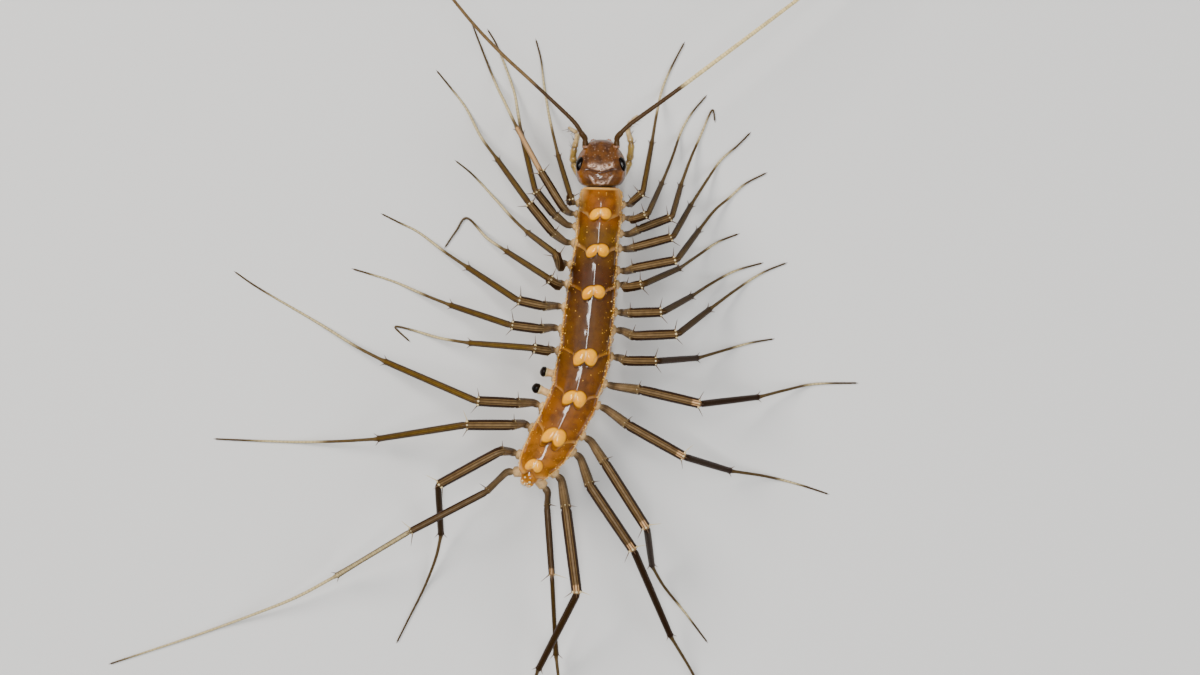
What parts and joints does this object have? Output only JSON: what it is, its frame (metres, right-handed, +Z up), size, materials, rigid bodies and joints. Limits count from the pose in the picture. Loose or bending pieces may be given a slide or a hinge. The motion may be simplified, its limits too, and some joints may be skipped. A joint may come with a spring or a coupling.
{
  "type": "house centipede",
  "caption": "Life-size still model of a house centipede, standing on long spread legs with its antennae held forward.",
  "frame": {"origin": "middle of the whole animal's box, on the floor", "axes": "+Y towards the head, +X to the animal's right side, +Z up from the floor"},
  "size_m": [0.0723, 0.0866, 0.0107],
  "materials": {
    "shell": "glossy horn-like back plates, amber to dark brown",
    "head": "glossy red-brown shell",
    "eyes": "polished black",
    "legs": "thin satin cuticle, olive with dark stripes",
    "antennae": "fine rings, satin",
    "mouthparts": "amber, glossy"
  },
  "bodies": {
    "root": {"head": "head", "eye_left": "eyes", "eye_right": "eyes", "telson": "shell", "trunk_1": "shell", "trunk_2": "shell", "trunk_3": "shell", "trunk_4": "shell", "trunk_5": "shell", "trunk_6": "shell", "trunk_7": "shell", "antenna_left_inner": "antennae", "antenna_left_outer": "antennae", "antenna_right_inner": "antennae", "antenna_right_outer": "antennae", "palp_left": "mouthparts", "palp_right": "mouthparts", "forcipule_left": "mouthparts", "forcipule_right": "mouthparts", "leg_01_left": "legs", "leg_02_left": "legs", "leg_03_left": "legs", "leg_04_left": "legs", "leg_05_left": "legs", "leg_06_left": "legs", "leg_07_left": "legs", "leg_08_left": "legs", "leg_09_left": "legs", "leg_12_left": "legs", "leg_13_left": "legs", "leg_14_left": "legs", "leg_15_left": "legs", "leg_01_right": "legs", "leg_02_right": "legs", "leg_03_right": "legs", "leg_04_right": "legs", "leg_05_right": "legs", "leg_06_right": "legs", "leg_07_right": "legs", "leg_08_right": "legs", "leg_09_right": "legs", "leg_10_right": "legs", "leg_11_right": "legs", "leg_12_right": "legs", "leg_13_right": "legs", "leg_14_right": "legs", "leg_15_right": "legs", "mount_10_left": "legs", "mount_11_left": "legs"}
  },
  "joints": []
}
